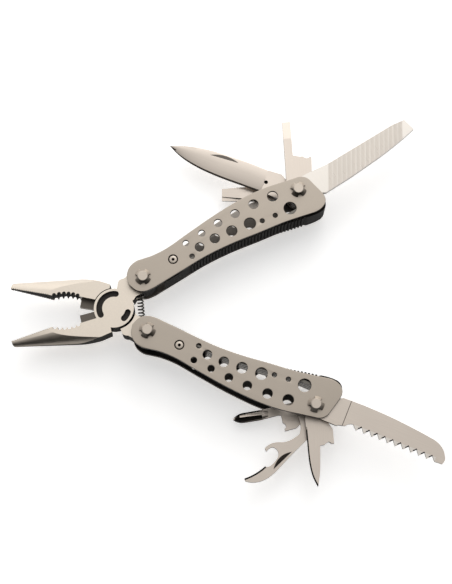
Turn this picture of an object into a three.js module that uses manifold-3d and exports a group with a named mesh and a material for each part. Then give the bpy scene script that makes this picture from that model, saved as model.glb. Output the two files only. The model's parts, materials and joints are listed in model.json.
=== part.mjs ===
// Folding multi tool: needle-nose pliers between two perforated handles, with four
// fold-out tools in each handle. It lies flat, pliers and tools partly open.
//
// Millimetres. +X runs from the jaw tips to the handle ends, +Y is across the tool and +Z
// is up, through its thickness. The base of the rear bolt heads is the plane z = 0.
//
// Each handle is drawn in its own frame: the jaw bolt is the origin, +x runs to the tool
// bolt, and +y points to the open side that the tools fold into. The lower handle is the
// upper one turned over about its x axis. In the same way the rear jaw is the front jaw
// turned over, because the two halves of the pliers are alike.

import * as THREE from 'three';
import { mergeVertices } from 'three/addons/utils/BufferGeometryUtils.js';
import Module from 'manifold-3d';

const wasm = await Module();
wasm.setup();

const rad = THREE.MathUtils.degToRad;
const V = (x, y) => new THREE.Vector2(x, y);

// ---- Driving dimensions ----

// Handles
const PIN_SPACING = 88;            // jaw bolt to tool bolt
const HANDLE_THICK = 17;           // outside of one scale to outside of the other
const SCALE_THICK = 1.5;
const SCALE_OUT = HANDLE_THICK / 2;
const SCALE_IN = SCALE_OUT - SCALE_THICK;
const JAW_SHANK = 2.6;             // radii
const TOOL_SHANK = 2.2;
const FIT = 0.15;                  // clearance of a shank in its hole
const HEAD_BASE = 4.0;
const HEAD_TOP = 2.3;
const HEAD_HEIGHT = 2.2;
const RIB_PITCH = 1.75;
const RIB_COUNT = 35;
const RIB_CREST = 0.35;            // beyond the inner edges of the scales
const RIB_DEPTH = 0.8;
const SPINE_THICK = 2.4;
const SPINE_WIDTH = 2 * SCALE_IN - 0.2;
const SPRING_THICK = 1.1;
const SCREW_AT = V(17, 0.3);
const SCREW_HEAD = 2;              // radius
const SCREW_SINK = 0.9;            // depth of its counterbore

// Tools: four layers between the scales
const LAYER_PITCH = 3.7;
const TOOL_THICK = 2.6;
const LAYERS = [1.5, 0.5, -0.5, -1.5].map((n) => n * LAYER_PITCH);
const BOSS = 6;                    // radius of the round end of a tool's tang
const FILE_CUTS = 17;
const FILE_PITCH = 2.78;
const FILE_SKEW = -33;             // degrees from square across
const SAW_TEETH = 10;
const SAW_PITCH = 3.95;

// Pliers
const JAW_THICK = 10;
const DISC = 9.7;                  // radius of each half of the lap joint
const DISC_GAP = 0.4;              // around the discs
const LAP_GAP = 0.06;              // between the discs' flat faces
const MOUTH = 15.4;                // each tang is this far from closed, degrees
const FRONT_LEAN = -3.3;           // turn of each nose from its tang's middle line
const REAR_LEAN = 1.8;
const GULLETS = 6;
const TANG_PIN = V(18.36, 8.72);   // the jaw bolt, with the jaws closed
const EYE = 6.6;
const RIVET = 3.4;
const UPPER_ANGLE = 24.97;         // the handles' lines of bolts, degrees from X
const LOWER_ANGLE = -29.48;

// ---- Materials ----

const metal = (color, roughness, metalness = 1) =>
  new THREE.MeshStandardMaterial({ color, roughness, metalness });
const blasted = metal('#b9b0a6', 0.55);
const satin = metal('#dcd4ca', 0.38);
const bright = metal('#e6e0d8', 0.3);
const ground = metal('#eeeae4', 0.34);
const blackened = metal('#2b2825', 0.5, 0.7);
const spring = metal('#8f8a84', 0.35);

// ---- Solids ----

// A three.js geometry as a solid that can be joined and cut.
function solid(geometry) {
  const bare = geometry.clone();
  bare.deleteAttribute('normal');
  bare.deleteAttribute('uv');
  const welded = mergeVertices(bare, 1e-5);
  return new wasm.Manifold(new wasm.Mesh({
    numProp: 3,
    vertProperties: new Float32Array(welded.attributes.position.array),
    triVerts: new Uint32Array(welded.index.array),
  }));
}

function geometryOf(body) {
  const { numProp, vertProperties, triVerts } = body.getMesh();
  const positions = [];
  for (let i = 0; i < vertProperties.length; i += numProp) {
    positions.push(vertProperties[i], vertProperties[i + 1], vertProperties[i + 2]);
  }
  const geometry = new THREE.BufferGeometry();
  geometry.setAttribute('position', new THREE.Float32BufferAttribute(positions, 3));
  geometry.setIndex(Array.from(triVerts));
  geometry.computeVertexNormals();
  return geometry;
}

function mesh(name, shape, material, parent) {
  const m = new THREE.Mesh(shape.isBufferGeometry ? shape : geometryOf(shape), material);
  m.name = name;
  parent.add(m);
  return m;
}

// A flat plate from a 2-D shape, between two heights.
function plate(shape, low, high, curveSegments = 6) {
  const geometry = new THREE.ExtrudeGeometry(shape, {
    depth: high - low, bevelEnabled: false, curveSegments,
  });
  return solid(geometry.translate(0, 0, low));
}

// A round bar along Z.
function round(x, y, radius, low, high, segments = 24) {
  const geometry = new THREE.CylinderGeometry(radius, radius, high - low, segments);
  return solid(geometry.rotateX(Math.PI / 2).translate(x, y, (low + high) / 2));
}

function box(x0, x1, y0, y1, z0, z1) {
  const geometry = new THREE.BoxGeometry(x1 - x0, y1 - y0, z1 - z0);
  return solid(geometry.translate((x0 + x1) / 2, (y0 + y1) / 2, (z0 + z1) / 2));
}

function polygon(points) {
  return new THREE.Shape(points.map(([x, y]) => V(x, y)));
}

// A slot bent around the origin, between two angles in degrees.
function arcSlot(radius, width, from, to) {
  const shape = new THREE.Shape();
  const [a, b] = [rad(from), rad(to)];
  const end = (angle) => [radius * Math.cos(angle), radius * Math.sin(angle)];
  shape.absarc(0, 0, radius + width / 2, a, b, false);
  shape.absarc(...end(b), width / 2, b, b + Math.PI, false);
  shape.absarc(0, 0, radius - width / 2, b, a, true);
  shape.absarc(...end(a), width / 2, a + Math.PI, a + 2 * Math.PI, false);
  return shape;
}

// ---- Pliers ----

// The nose of one half of the pliers, along -x below the x axis, with its cutter blade.
function plierNose() {
  const half = JAW_THICK / 2;
  const nose = new THREE.Shape();
  nose.moveTo(-52, 0);
  nose.lineTo(-51.9, -1.9);
  nose.quadraticCurveTo(-51.6, -2.8, -50.6, -3.1);
  nose.lineTo(-34, -7.6);
  nose.splineThru([V(-27, -9.5), V(-20.5, -11.2), V(-15, -11.8), V(-9.5, -11.7)]);
  nose.lineTo(-4.4, -11.1);
  nose.lineTo(-4.2, -9);
  nose.lineTo(-6, 0);

  // the closed noses together make a flattened cone
  const cone = new THREE.LatheGeometry(
    [V(0, -53), V(2.5, -53), V(25.5, 30), V(0, 30)], 24);
  let body = plate(nose, -half, half)
    .intersect(solid(cone.rotateZ(-Math.PI / 2).scale(1, 1, 0.62)));

  // pipe grip: a hollow along the mouth, with round teeth
  const hollowEdge = new THREE.QuadraticBezierCurve(
    V(-31.3, 0.5), V(-24.5, -3.6), V(-17.4, -2.2));
  const hollow = new THREE.Shape();
  hollow.curves.push(hollowEdge);
  hollow.currentPoint.copy(hollowEdge.v2);
  hollow.lineTo(-17.4, 0.5);
  body = body.subtract(plate(hollow, -half - 1, half + 1, 8));
  for (let i = 0; i < GULLETS; i++) {
    const p = hollowEdge.getPoint(0.1 + 0.162 * i);
    body = body.subtract(round(p.x, p.y - 0.15, 0.95, -half - 1, half + 1, 12));
  }

  // wire cutter: the mouth is cut back, and a blade beside the middle plane passes the
  // other half's blade
  body = body.subtract(box(-17.5, -5, -2.3, 5, -half - 1, half + 1));
  const blade = polygon([[-17.2, -3.2], [-6, -4], [-6, 1.6], [-16.9, 2]]);
  return body.add(plate(blade, LAP_GAP, 2.6));
}

// One half of the pliers: nose, disc in the upper half of the thickness, and tang up to
// the jaw bolt. `lean` turns the nose about the pivot.
function plierHalf(lean) {
  const half = JAW_THICK / 2;
  const tang = new THREE.Shape();
  tang.moveTo(4, 7.6);
  tang.lineTo(6.3, 11.5);
  tang.quadraticCurveTo(7.2, 12.6, 9.5, 12.2);
  tang.lineTo(14.6, 14.1);
  tang.lineTo(TANG_PIN.x, TANG_PIN.y);
  tang.lineTo(16.8, 2.4);
  tang.lineTo(12, 1.7);
  tang.lineTo(10.3, 0.4);
  tang.lineTo(8, 0.4);

  // room for the other half's disc, then this half's own
  const body = plierNose().rotate([0, 0, lean])
    .add(plate(tang, -half, half))
    .add(round(TANG_PIN.x, TANG_PIN.y, EYE, -half, half, 24))
    .subtract(round(0, 0, DISC + DISC_GAP, -half - 1, LAP_GAP, 40))
    .add(round(0, 0, DISC, LAP_GAP, half, 40));

  return body.subtract(
    round(TANG_PIN.x, TANG_PIN.y, JAW_SHANK + FIT, -half - 1, half + 1, 16));
}

// Pocket for one end of the return spring, seen with the pliers at rest.
const SPRING_X = 12.9;
const SPRING_END = 6.6;
function springPocket(side) {
  const geometry = new THREE.CylinderGeometry(2.1, 2.1, 4, 12);
  return solid(geometry.translate(SPRING_X, side * (SPRING_END + 0.3 - 2), 0));
}

// The coil of the return spring, drawn along Z.
class Helix extends THREE.Curve {
  constructor(radius, length, turns) {
    super();
    Object.assign(this, { radius, length, turns });
  }

  getPoint(t, target = new THREE.Vector3()) {
    const a = 2 * Math.PI * this.turns * t;
    return target.set(
      this.radius * Math.cos(a), this.radius * Math.sin(a), this.length * (t - 0.5));
  }
}

function coil(wire, radius, length, turns) {
  const section = new THREE.Shape().absarc(0, 0, wire, 0, 2 * Math.PI);
  return new THREE.ExtrudeGeometry(section, {
    extrudePath: new Helix(radius, length, turns),
    steps: turns * 9, curveSegments: 3, bevelEnabled: false,
  });
}

// ---- Handle pieces ----

// The side of a scale that faces the other handle, from jaw end to tool end.
const innerEdge = new THREE.SplineCurve([
  V(2, -7.4), V(18, -6.8), V(32, -6.4), V(46, -7.3), V(60, -9.2), V(74, -11.0),
  V(88, -13.9),
]);

function beside(curve, u, distance) {
  const p = curve.getPointAt(u);
  const t = curve.getTangentAt(u);
  return V(p.x + t.y * distance, p.y - t.x * distance);
}

function scaleOutline() {
  const shape = new THREE.Shape();
  shape.moveTo(-7.8, 0.3);
  shape.splineThru([V(-6.4, 4.6), V(-3.2, 7.6), V(1, 8.6), V(5, 7.9), V(10, 7),
    V(18, 6.8), V(30, 8.1), V(46, 9.6), V(62, 10.1), V(74, 9.1), V(84, 7.1), V(91, 5.7)]);
  shape.quadraticCurveTo(94.2, 4.9, 95.3, 1.8);
  shape.lineTo(97.4, -7.6);
  shape.bezierCurveTo(98, -11.5, 95.5, -13.8, 91.5, -14.2);
  shape.quadraticCurveTo(89.8, -14.3, 88, -13.9);
  for (let i = 1; i <= 8; i++) {
    const p = innerEdge.getPointAt(1 - i / 8);
    shape.lineTo(p.x, p.y);
  }
  shape.splineThru([V(-2.6, -6.7), V(-6, -4.3), V(-7.8, 0.3)]);
  return shape;
}

// Lightening holes: position and radius. The outer row grows toward the tool end.
const HOLES = [
  [26.4, 4.2, 1.5], [35.6, 4.6, 1.7], [45.1, 5.1, 2.0],
  [54.7, 5.0, 2.2], [65.0, 4.6, 2.4], [75.2, 3.4, 2.65],
  [25.7, -3.1, 1.25], [31.2, -0.9, 2.25], [39.8, -0.9, 2.45],
  [48.9, -1.8, 2.7], [58.5, -3.0, 2.95], [64.4, -4.9, 1.2],
  [71.3, -5.7, 1.2], [79.5, -6.2, 3.15],
];

function holePath(x, y, radius, count) {
  const path = new THREE.Path();
  for (let i = 0; i < count; i++) {
    const a = 2 * Math.PI * i / count;
    const [px, py] = [x + radius * Math.cos(a), y + radius * Math.sin(a)];
    if (i) path.lineTo(px, py);
    else path.moveTo(px, py);
  }
  return path;
}

// A scale, on the +z side of a handle's own frame or on its -z side.
function scalePlate(side) {
  const shape = scaleOutline();
  for (const [x, y, r] of HOLES) shape.holes.push(holePath(x, y, r, r > 1.9 ? 10 : 8));
  shape.holes.push(holePath(0, 0, JAW_SHANK + FIT, 16));
  shape.holes.push(holePath(PIN_SPACING, 0, TOOL_SHANK + FIT, 16));
  shape.holes.push(holePath(SCREW_AT.x, SCREW_AT.y, 1.3, 10));
  const between = (a, b) => (side > 0 ? [a, b] : [-b, -a]);
  const sink = between(SCALE_OUT - SCREW_SINK, SCALE_OUT + 1);
  return plate(shape, ...between(SCALE_IN, SCALE_OUT), 2)
    .subtract(round(SCREW_AT.x, SCREW_AT.y, SCREW_HEAD + 0.35, ...sink, 16));
}

// Ribbed bar between the scales, standing a little proud of their inner edges.
function spineBar() {
  const shape = new THREE.Shape();
  const length = innerEdge.getLength();
  const point = (s, out) => beside(innerEdge, s / length, out);
  const start = point(5.5, 0.2);
  const ribStart = 21;
  shape.moveTo(start.x, start.y);
  for (const s of [8, 14]) {
    const p = point(s, RIB_CREST);
    shape.lineTo(p.x, p.y);
  }
  for (let i = 0; i < RIB_COUNT; i++) {
    const s = ribStart + i * RIB_PITCH;
    // the ribs stand higher toward the tool end
    const crest = RIB_CREST + 0.6 * THREE.MathUtils.smoothstep(s, 64, 76);
    const valley = crest - RIB_DEPTH;
    const rib = [[0, valley], [0.25, crest], [1.1, crest], [1.35, valley]];
    for (const [ds, out] of rib) {
      const p = point(s + ds, out);
      shape.lineTo(p.x, p.y);
    }
  }
  // the smooth round end
  shape.lineTo(84.5, -14.1);
  shape.quadraticCurveTo(90, -15.4, 93.2, -14.9);
  shape.quadraticCurveTo(96.6, -14, 96.8, -10.4);
  shape.lineTo(94.2, -10.2);
  shape.quadraticCurveTo(92, -12, 88.6, -11.5);
  for (let i = 0; i <= 6; i++) {
    const p = point(84 - i * 12.8, -SPINE_THICK);
    shape.lineTo(p.x, p.y);
  }
  return plate(shape, -SPINE_WIDTH / 2, SPINE_WIDTH / 2, 4);
}

// Leaf spring along the spine: one block held by the two small screws, and one finger
// under each tool.
function leafSpring() {
  const shape = new THREE.Shape();
  const length = innerEdge.getLength();
  const under = (s, out) => beside(innerEdge, s / length, -SPINE_THICK - 0.2 - out);
  const first = under(12, 0);
  shape.moveTo(first.x, first.y);
  for (let i = 1; i <= 5; i++) {
    const p = under(12 + i * 12.6, 0);
    shape.lineTo(p.x, p.y);
  }
  shape.quadraticCurveTo(82, -9.2, 90, -8);
  shape.quadraticCurveTo(90.8, -7.2, 89.6, -6.9);
  const top = under(72, SPRING_THICK);
  shape.quadraticCurveTo(83, -8.0, top.x, top.y);
  for (let i = 1; i <= 4; i++) {
    const p = under(72 - i * 12, SPRING_THICK);
    shape.lineTo(p.x, p.y);
  }
  shape.quadraticCurveTo(21.5, -3, 21, 0.6);
  shape.quadraticCurveTo(20.5, 2.3, 18.6, 2.4);
  shape.lineTo(15.4, 2.4);
  shape.quadraticCurveTo(13.6, 2.3, 13.4, 0.6);
  shape.quadraticCurveTo(13.2, -2.6, first.x, first.y + 0.9);
  let body = plate(shape, -SPINE_WIDTH / 2, SPINE_WIDTH / 2, 3);
  for (const z of [-LAYER_PITCH, 0, LAYER_PITCH]) {
    body = body.subtract(box(27, 95, -20, 10, z - 0.55, z + 0.55));
  }
  for (const side of [-1, 1]) {
    const [low, high] = side > 0 ? [2.4, 8] : [-8, -2.4];
    body = body.subtract(round(SCREW_AT.x, SCREW_AT.y, 1.1, low, high, 10));
  }
  return body;
}

// Cone head with four notches in its flank, standing on the +z scale.
function boltHead(turn) {
  const profile = [V(0, 0), V(HEAD_BASE, 0), V(HEAD_BASE - 0.1, 0.35),
    V(HEAD_TOP + 0.25, HEAD_HEIGHT - 0.15), V(HEAD_TOP, HEAD_HEIGHT), V(0, HEAD_HEIGHT)];
  const cone = new THREE.LatheGeometry(profile, 20).rotateX(Math.PI / 2);
  let head = solid(cone.translate(0, 0, SCALE_OUT));
  for (let i = 0; i < 4; i++) {
    const a = rad(turn + 90 * i);
    const [x, y] = [3.75 * Math.cos(a), 3.75 * Math.sin(a)];
    head = head.subtract(round(x, y, 1.05, SCALE_OUT - 1, SCALE_OUT + 3, 12));
  }
  return head;
}

function bolt(shank, turn) {
  return boltHead(turn).add(round(0, 0, shank, -SCALE_OUT - 1, SCALE_OUT + 0.2, 16));
}

function nut(shank, turn) {
  return boltHead(turn).subtract(
    round(0, 0, shank + FIT, SCALE_OUT - 1, SCALE_OUT + 1.2, 16));
}

function washer(inner, outer, low, high) {
  const profile = [V(inner, low), V(outer, low), V(outer, high), V(inner, high),
    V(inner, low)];
  return new THREE.LatheGeometry(profile, 16).rotateX(Math.PI / 2);
}

// Small hex-socket screw in its counterbore, on the +z side.
function spineScrew() {
  const top = SCALE_OUT - 0.15;
  const seat = SCALE_OUT - SCREW_SINK + 0.05;
  const profile = [V(0, 3), V(0.95, 3), V(0.95, seat), V(SCREW_HEAD, seat),
    V(SCREW_HEAD, top - 0.3), V(SCREW_HEAD - 0.3, top), V(0, top)];
  const body = solid(new THREE.LatheGeometry(profile, 12).rotateX(Math.PI / 2));
  const socket = new THREE.CylinderGeometry(0.85, 0.85, 2, 6).rotateX(Math.PI / 2);
  return body.subtract(solid(socket.translate(0, 0, top + 0.2)));
}

// ---- Tools ----
// Each tool is drawn with the tool bolt at the origin and its tip along +x. Its back, the
// side that looks out of the handle when the tool is folded, is toward -y.

function toolPlate(draw, thick = TOOL_THICK, curveSegments = 3) {
  const shape = new THREE.Shape();
  draw(shape);
  return plate(shape, -thick / 2, thick / 2, curveSegments)
    .add(round(0, 0, BOSS, -TOOL_THICK / 2, TOOL_THICK / 2, 20))
    .subtract(round(0, 0, TOOL_SHANK + FIT, -5, 5, 16));
}

// A wedge that grinds a face down: removes what is above the plane through the line from
// (x0, y0) to (x1, y1) at height z, falling by `drop` over `width` to the line's left.
function grind(x0, y0, x1, y1, z, width, drop, side) {
  const along = V(x1 - x0, y1 - y0);
  const profile = polygon([[0, 0], [width, -drop], [width, 3], [0, 3]]);
  const geometry = new THREE.ExtrudeGeometry(profile, {
    depth: along.length(), bevelEnabled: false,
  });
  // profile x to the line's left, profile y up
  const frame = new THREE.Matrix4().makeBasis(
    new THREE.Vector3(-along.y, along.x, 0).normalize(),
    new THREE.Vector3(0, 0, 1),
    new THREE.Vector3(along.x, along.y, 0).normalize());
  geometry.applyMatrix4(frame).translate(x0, y0, z);
  return solid(side > 0 ? geometry : geometry.applyMatrix4(
    new THREE.Matrix4().makeRotationX(Math.PI)));
}

function knifeBlade() {
  let body = toolPlate((s) => {
    s.moveTo(2, 5.2);
    s.lineTo(13, 4.6);
    s.lineTo(18, 4.4);
    s.splineThru([V(28, 4.2), V(40, 3.9), V(50, 3), V(58, 1.4), V(64, -0.7), V(69, -3.4)]);
    s.splineThru([V(62, -5.6), V(54, -7.2), V(45, -8), V(32, -8.1), V(20, -7.4)]);
    s.lineTo(11, -7.6);
    s.lineTo(5, -4);
  }, 2.4);
  // the two faces meet near the edge
  for (const side of [-1, 1]) {
    const wedge = side > 0 ? [17.5, -1.6, 71, -4.6] : [71, 4.6, 17.5, 1.6];
    body = body.subtract(grind(...wedge, 1.2, 7, 1.25, side));
  }
  body = body.subtract(nailNick([48.3, -5.7], [33.3, -6.4], 1.5, 1.2));
  return body.subtract(round(17, -1.2, 0.75, 0.5, 3, 10));
}

// A nail nick: deep along the chord, and rising to the face at its curved side, which
// bulges to the chord's left. Its face is at height z; a negative z is the -z face.
function nailNick([x0, y0], [x1, y1], bulge, z) {
  const depth = 0.6;
  const length = Math.hypot(x1 - x0, y1 - y0);
  const shape = new THREE.Shape();
  shape.moveTo(0, 0);
  shape.lineTo(length, 0);
  shape.quadraticCurveTo(length / 2, 2 * bulge, 0, 0);
  const geometry = new THREE.ExtrudeGeometry(shape, {
    depth: 2, bevelEnabled: false, curveSegments: 8,
  });
  geometry.rotateX(Math.atan2(depth, bulge)).translate(0, 0, Math.abs(z) - depth);
  if (z < 0) geometry.rotateX(Math.PI).rotateZ(Math.PI).translate(length, 0, 0);
  return solid(geometry.rotateZ(Math.atan2(y1 - y0, x1 - x0)).translate(x0, y0, 0));
}

function smallDriver() {
  const length = 37.8;
  const body = toolPlate((s) => {
    s.moveTo(2, 5.2);
    s.lineTo(length, 5.2);
    s.lineTo(length, 1.15);
    s.lineTo(19.8, 1.15);
    s.lineTo(18.9, -2.3);
    s.lineTo(19, -3.8);
    s.quadraticCurveTo(16.9, -5.8, 18.8, -7.3);
    s.lineTo(18.2, -8.1);
    s.lineTo(11.5, -7.8);
    s.lineTo(5, -4);
  });
  return body.subtract(tipGrind(length, 1)).subtract(tipGrind(length, -1));
}

function largeDriver() {
  const length = 37.7;
  const body = toolPlate((s) => {
    s.moveTo(2, 1.25);
    s.lineTo(length, 1.25);
    s.lineTo(length, -4.95);
    s.lineTo(16, -6.2);
    s.lineTo(10.5, -6.6);
    s.lineTo(5, -4);
  });
  // a step along one edge of the front face
  const step = polygon([[19.5, 1.2], [39, -1], [39, 3], [19.5, 3]]);
  return body.subtract(plate(step, 0.1, 3))
    .subtract(tipGrind(length, 1)).subtract(tipGrind(length, -1));
}

// Thins a driver's end to a blunt edge.
function tipGrind(length, side) {
  const wedge = polygon([[length - 9, 1.3], [length + 1, 0.5], [length + 1, 3],
    [length - 9, 3]].map(([x, z]) => [x, side * z]));
  const geometry = new THREE.ExtrudeGeometry(wedge, { depth: 30, bevelEnabled: false });
  return solid(geometry.rotateX(Math.PI / 2).translate(0, 15, 0));
}

function fileBlade() {
  let body = toolPlate((s) => {
    s.moveTo(2, 5.4);
    s.lineTo(10, 5);
    s.quadraticCurveTo(14, 4.4, 20, 3.8);
    s.lineTo(58.3, 3.7);
    s.lineTo(65, 2.8);
    s.lineTo(66.4, -3.8);
    s.splineThru([V(57.4, -5.4), V(46.5, -6.7), V(36, -7.4), V(25.8, -8)]);
    s.lineTo(11, -8.2);
    s.lineTo(5, -4.4);
  });
  // shallow slanted cuts across both faces
  for (let i = 0; i < FILE_CUTS; i++) {
    const x = 17.7 + FILE_PITCH * i;
    for (const side of [-1, 1]) {
      const cut = new THREE.BoxGeometry(0.4, 30, 0.4);
      cut.rotateZ(rad(FILE_SKEW)).translate(x, 0, side * TOOL_THICK / 2);
      body = body.subtract(solid(cut));
    }
  }
  return body;
}

function sawBlade() {
  return toolPlate((s) => {
    s.moveTo(2, 5.4);
    s.lineTo(12.7, 5.5);
    s.lineTo(13.3, 4.9);
    s.lineTo(16.5, 4.1);
    s.quadraticCurveTo(17.6, 2.2, 19.8, 1.9);
    for (let i = 0; i < SAW_TEETH; i++) {
      const x = 21.9 + SAW_PITCH * i;
      s.lineTo(x, 4.1);
      s.lineTo(x + 2.2, 1.9);
    }
    s.lineTo(61.4, 4);
    s.lineTo(65.2, 3.8);
    s.quadraticCurveTo(66.4, 1.5, 65, -0.4);
    s.quadraticCurveTo(63, -4.6, 57.6, -5.6);
    s.splineThru([V(49.2, -6.7), V(40, -7.6), V(32.5, -8.1), V(22, -8.4)]);
    s.lineTo(11, -8.1);
    s.lineTo(5, -4.4);
  }, 2.2);
}

function awlBlade() {
  return toolPlate((s) => {
    s.moveTo(2, 5.2);
    s.lineTo(10, 4.6);
    s.splineThru([V(16, 4.1), V(26, 3.2), V(33, 1.7), V(38.2, -0.8)]);
    s.quadraticCurveTo(33, -1.9, 28, -2);
    s.lineTo(18.8, -2.1);
    s.lineTo(18.4, -4.2);
    s.quadraticCurveTo(16, -6.2, 17.8, -7.4);
    s.lineTo(17.8, -8.7);
    s.lineTo(11, -8.2);
    s.lineTo(5, -4);
  });
}

function openerBlade() {
  const thick = 2.2;
  const body = toolPlate((s) => {
    s.moveTo(2, 5.2);
    s.lineTo(8, 4.4);
    s.quadraticCurveTo(11, -1.5, 15, -1.9);
    s.quadraticCurveTo(20.5, -0.8, 23, 2.2);
    s.quadraticCurveTo(26, 6.8, 30.3, 6.9);
    s.lineTo(31.1, 5.4);
    s.quadraticCurveTo(27.4, 5.4, 27.2, 3);
    s.quadraticCurveTo(27.2, -0.4, 31, -0.7);
    s.quadraticCurveTo(36.8, -1, 37, 1.6);
    s.quadraticCurveTo(42.6, 2.6, 47.6, 5.8);
    s.lineTo(48.4, 4.6);
    s.quadraticCurveTo(45.5, -3.2, 34.2, -4.2);
    s.lineTo(24.3, -5.1);
    s.lineTo(12, -6.8);
    s.lineTo(5, -4);
  }, thick);
  return body.subtract(nailNick([35.7, -2.3], [23.6, -4.1], 1.9, -thick / 2));
}

// Cross-head driver: a flattened round bar with four flutes, on a flat tang.
function phillipsDriver() {
  const radius = 1.85;
  const flatten = 1.35;             // wider across than it is thick
  const centre = 1.2;
  const lift = -0.45;               // the bar sits nearer the middle of the handle
  const fluteLength = 14;
  const fluteTurn = 65;             // degrees about the bar
  const tang = toolPlate((s) => {
    s.moveTo(2, 5.2);
    s.lineTo(12, 4.5);
    s.lineTo(26, 3.6);
    s.lineTo(26, -1);
    s.lineTo(17.6, -0.3);
    s.lineTo(16.3, -0.6);
    s.lineTo(16.2, -4.2);
    s.quadraticCurveTo(13.8, -6, 15.8, -7.2);
    s.lineTo(15.8, -8.4);
    s.lineTo(10, -7.8);
    s.lineTo(5, -4);
  });
  const profile = [V(0, 22.5), V(1.3, 22.5), V(radius, 26), V(radius, 34.5), V(1.7, 36.2),
    V(1.3, 37.5), V(0.85, 38.6), V(0.3, 39.4), V(0, 39.4)];
  let bar = solid(new THREE.LatheGeometry(profile, 24).rotateZ(-Math.PI / 2));
  for (let i = 0; i < 4; i++) {
    const flute = new THREE.BoxGeometry(fluteLength, 3, 3).translate(0, 1.5, 1.5);
    flute.rotateX(-Math.PI / 4).rotateZ(rad(-2.5));
    flute.translate(39.5 - fluteLength / 2, 0.75, 0)
      .rotateX(rad(fluteTurn + 90 * i));
    bar = bar.subtract(solid(flute));
  }
  const flat = geometryOf(bar).scale(1, flatten, 1).translate(0, centre, lift);
  return tang.add(solid(flat));
}

// ---- Assembly ----

const part = new THREE.Group();

function turned(body, angle, over) {
  const geometry = geometryOf(body);
  if (over) geometry.rotateX(Math.PI);
  return solid(geometry.rotateZ(rad(angle)));
}

const jawFace = JAW_THICK / 2;
const windowFloor = jawFace - 1.4;
mesh('jaw_front',
  turned(plierHalf(FRONT_LEAN), MOUTH, false)
    .subtract(plate(arcSlot(7.1, 2.9, 78, 203), windowFloor, jawFace + 1, 8))
    .subtract(plate(arcSlot(7.1, 2.9, -51, -22), windowFloor, jawFace + 1, 4))
    .subtract(round(0, 0, RIVET, -1, jawFace - 1, 24))
    .subtract(springPocket(1)),
  satin, part);
mesh('jaw_back',
  turned(plierHalf(REAR_LEAN), -MOUTH, true)
    .subtract(round(0, 0, RIVET + FIT, -jawFace - 1, 1, 24))
    .subtract(springPocket(-1)),
  satin, part);
mesh('jaw_rivet', round(0, 0, RIVET - 0.05, -jawFace, jawFace - 1, 24), bright, part);
mesh('return_spring', coil(0.36, 1.35, 2 * SPRING_END - 0.8, 8), spring, part)
  .geometry.rotateX(Math.PI / 2).translate(SPRING_X, 0, 0);

// `over` is true for the handle that is turned over about its x axis.
function buildHandle(prefix, side, angle, over, tools) {
  const pin = TANG_PIN.clone().rotateAround(V(0, 0), rad(MOUTH));
  const placed = new THREE.Group();
  placed.position.set(pin.x, side * pin.y, 0);
  placed.rotation.z = rad(angle);
  const handle = new THREE.Group();
  handle.rotation.x = over ? Math.PI : 0;
  placed.add(handle);
  part.add(placed);

  // a piece drawn on the +z side, put on the front or the back of the handle
  const onFace = (name, shape, face, x = 0, y = 0) => {
    const m = mesh(`${prefix}_${name}`, shape, bright, handle);
    m.position.set(x, y, 0);
    if (over !== (face === 'back')) m.rotation.x = Math.PI;
  };
  const jawWasher = washer(JAW_SHANK + FIT, 5.4, jawFace + 0.1, SCALE_IN - 0.1);
  for (const face of ['front', 'back']) {
    const outward = over === (face === 'back') ? 1 : -1;
    mesh(`${prefix}_${face}_scale`, scalePlate(outward), blasted, handle);
    onFace(`${face}_screw`, spineScrew(), face, SCREW_AT.x, SCREW_AT.y);
    onFace(`${face}_jaw_washer`, jawWasher, face);
  }
  mesh(`${prefix}_spine`, spineBar(), blackened, handle);
  mesh(`${prefix}_leaf_spring`, leafSpring(), spring, handle);
  onFace('jaw_bolt', bolt(JAW_SHANK, over ? 45 : 63), 'front');
  onFace('jaw_nut', nut(JAW_SHANK, 45), 'back');
  onFace('tool_bolt', bolt(TOOL_SHANK, over ? 50 : -17), 'front', PIN_SPACING);
  onFace('tool_nut', nut(TOOL_SHANK, 30), 'back', PIN_SPACING);

  const frontSign = over ? -1 : 1;
  [1, 0, -1].forEach((step, i) => {
    mesh(`${prefix}_tool_washer_${i + 1}`, washer(TOOL_SHANK + FIT, 4.6, -0.4, 0.4),
      bright, handle).position.set(PIN_SPACING, 0, frontSign * step * LAYER_PITCH);
  });
  tools.forEach(([name, shape, material, open], i) => {
    const tool = mesh(name, shape, material, handle);
    tool.position.set(PIN_SPACING, 0, frontSign * LAYERS[i]);
    tool.rotation.z = rad(open);
  });
}

// Each tool's angle is 180 when folded into the handle and about 0 when fully open.
buildHandle('upper', 1, UPPER_ANGLE, false, [
  ['file', fileBlade(), ground, 2],
  ['small_driver', smallDriver(), satin, 63],
  ['knife', knifeBlade(), satin, 130],
  ['large_driver', largeDriver(), satin, 150],
]);
buildHandle('lower', -1, LOWER_ANGLE, true, [
  ['saw', sawBlade(), satin, -2],
  ['awl', awlBlade(), satin, 66],
  ['opener', openerBlade(), satin, 104],
  ['phillips_driver', phillipsDriver(), satin, 146.5],
]);

// Stand the object on its rear bolt heads, centred over the origin.
const bounds = new THREE.Box3().setFromObject(part, true);
const middle = bounds.getCenter(new THREE.Vector3());
part.position.set(-middle.x, -middle.y, -bounds.min.z);
part.updateMatrixWorld(true);

export default part;
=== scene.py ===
"""Looks of the folding multi tool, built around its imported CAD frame.

Each piece is drawn in millimetres in its own local frame and then placed by a matrix that
comes from the record's joints. A handle's frame has the jaw bolt at its origin, +x toward
the tool bolt and +y toward its open side. A tool's frame has the tool bolt at its origin
and its tip along +x. A jaw's frame has the plier pivot at its origin, mouth closed.
"""

import json
import math

import bmesh
import bpy
from mathutils import Matrix, Vector


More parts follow.
